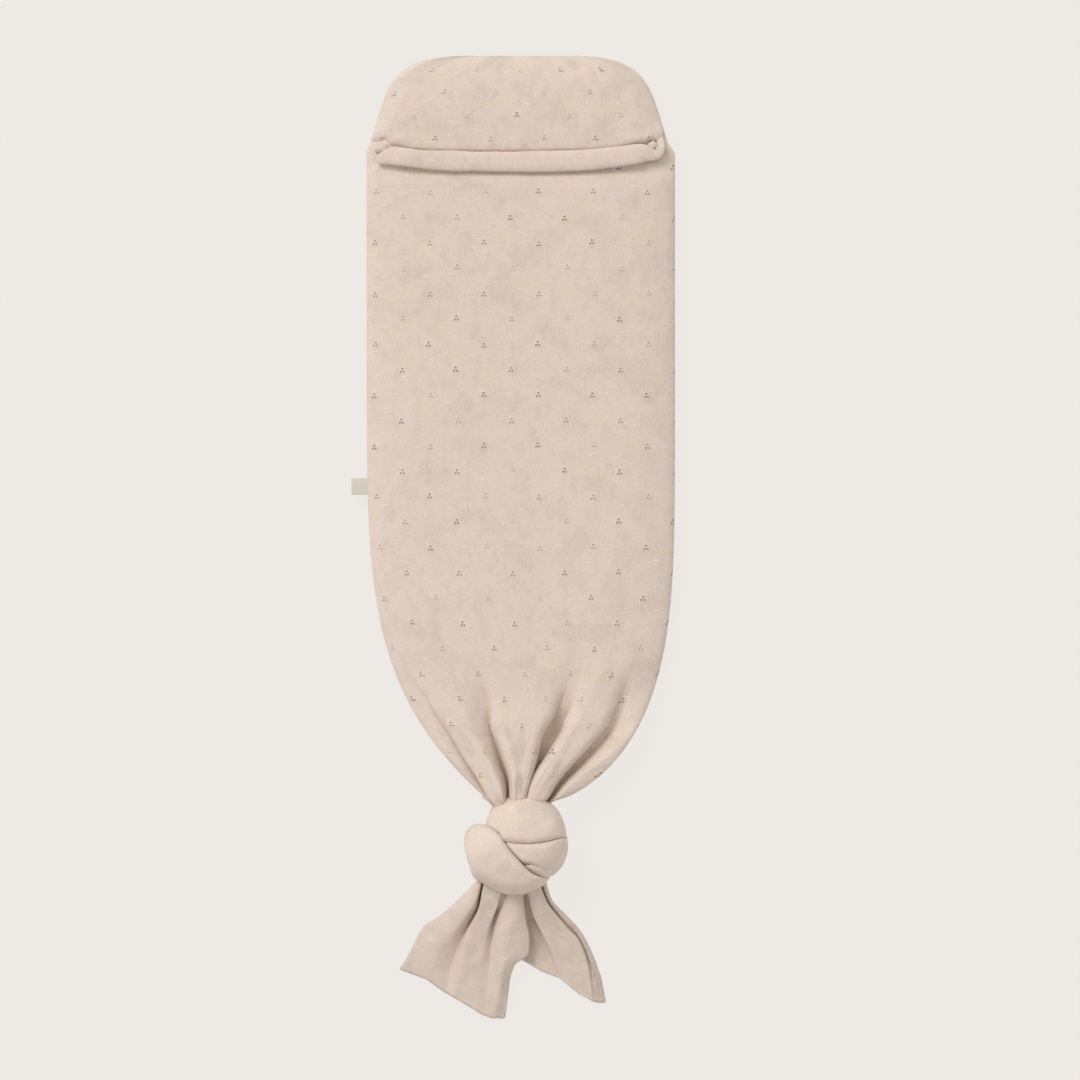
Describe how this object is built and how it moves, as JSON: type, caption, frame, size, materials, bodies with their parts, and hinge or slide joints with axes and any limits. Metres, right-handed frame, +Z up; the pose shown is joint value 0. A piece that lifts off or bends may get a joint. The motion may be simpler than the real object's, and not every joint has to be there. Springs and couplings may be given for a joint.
{
  "type": "baby sleeping bag",
  "caption": "Soft lined knit sleeping bag for a newborn: a flat tube with a hood and face opening, gathered and tied in a knot at the foot, with a fanned tail and a side label.",
  "frame": {"origin": "on the surface that the bag lies on, under the back panel's centre line, half way between the crown of the hood and the end of the tail", "axes": "+Y runs up the bag from the knot to the crown of the hood, +Z is up out of the front, and +X is across the bag, away from the label"},
  "size_m": [0.2532, 0.7556, 0.05],
  "materials": {
    "pointelle_knit": "heathered beige cotton jersey with small pointelle eyelets",
    "lining": "plain pale cotton jersey",
    "seam_thread": "overlocked seam allowance",
    "label_ribbon": "woven ribbon"
  },
  "bodies": {
    "bag": {"front_panel": "pointelle_knit", "front_lining": "lining", "back_panel": "pointelle_knit", "back_lining": "lining", "neckline_hem": "pointelle_knit", "left_side_seam": "seam_thread", "right_side_seam": "seam_thread"},
    "hood": {"hood_front_panel": "pointelle_knit", "hood_front_lining": "lining", "hood_back_panel": "pointelle_knit", "hood_back_lining": "lining", "hood_hem": "pointelle_knit", "left_corner_tack": "pointelle_knit", "right_corner_tack": "pointelle_knit", "crown_seam": "seam_thread"},
    "label": {"side_label": "label_ribbon"},
    "foot": {"knot_core": "pointelle_knit", "knot_upper_wrap": "pointelle_knit", "knot_middle_wrap": "pointelle_knit", "knot_lower_wrap": "pointelle_knit"},
    "tail": {"tail_root": "pointelle_knit", "tail_left_top_layer": "pointelle_knit", "tail_left_under_layer": "pointelle_knit", "tail_right_top_layer": "pointelle_knit", "tail_right_under_layer": "pointelle_knit", "tail_left_hem": "pointelle_knit", "tail_right_hem": "pointelle_knit"}
  },
  "joints": [
    {"name": "hood_fold", "type": "hinge", "parent": "bag", "child": "hood", "pos_m": [0, 0.2875, 0.0285], "axis": [1, 0, 0], "range_deg": [0, 150]},
    {"name": "label_flip", "type": "hinge", "parent": "bag", "child": "label", "pos_m": [-0.1212, 0.042, 0.01], "axis": [0, 1, 0], "range_deg": [-50, 90]},
    {"name": "foot_bend", "type": "hinge", "parent": "bag", "child": "foot", "pos_m": [0, -0.204, 0.036], "axis": [-1, 0, 0], "range_deg": [0, 60]},
    {"name": "tail_lift", "type": "hinge", "parent": "foot", "child": "tail", "pos_m": [0, -0.278, 0.024], "axis": [-1, 0, 0], "range_deg": [0, 70]}
  ]
}
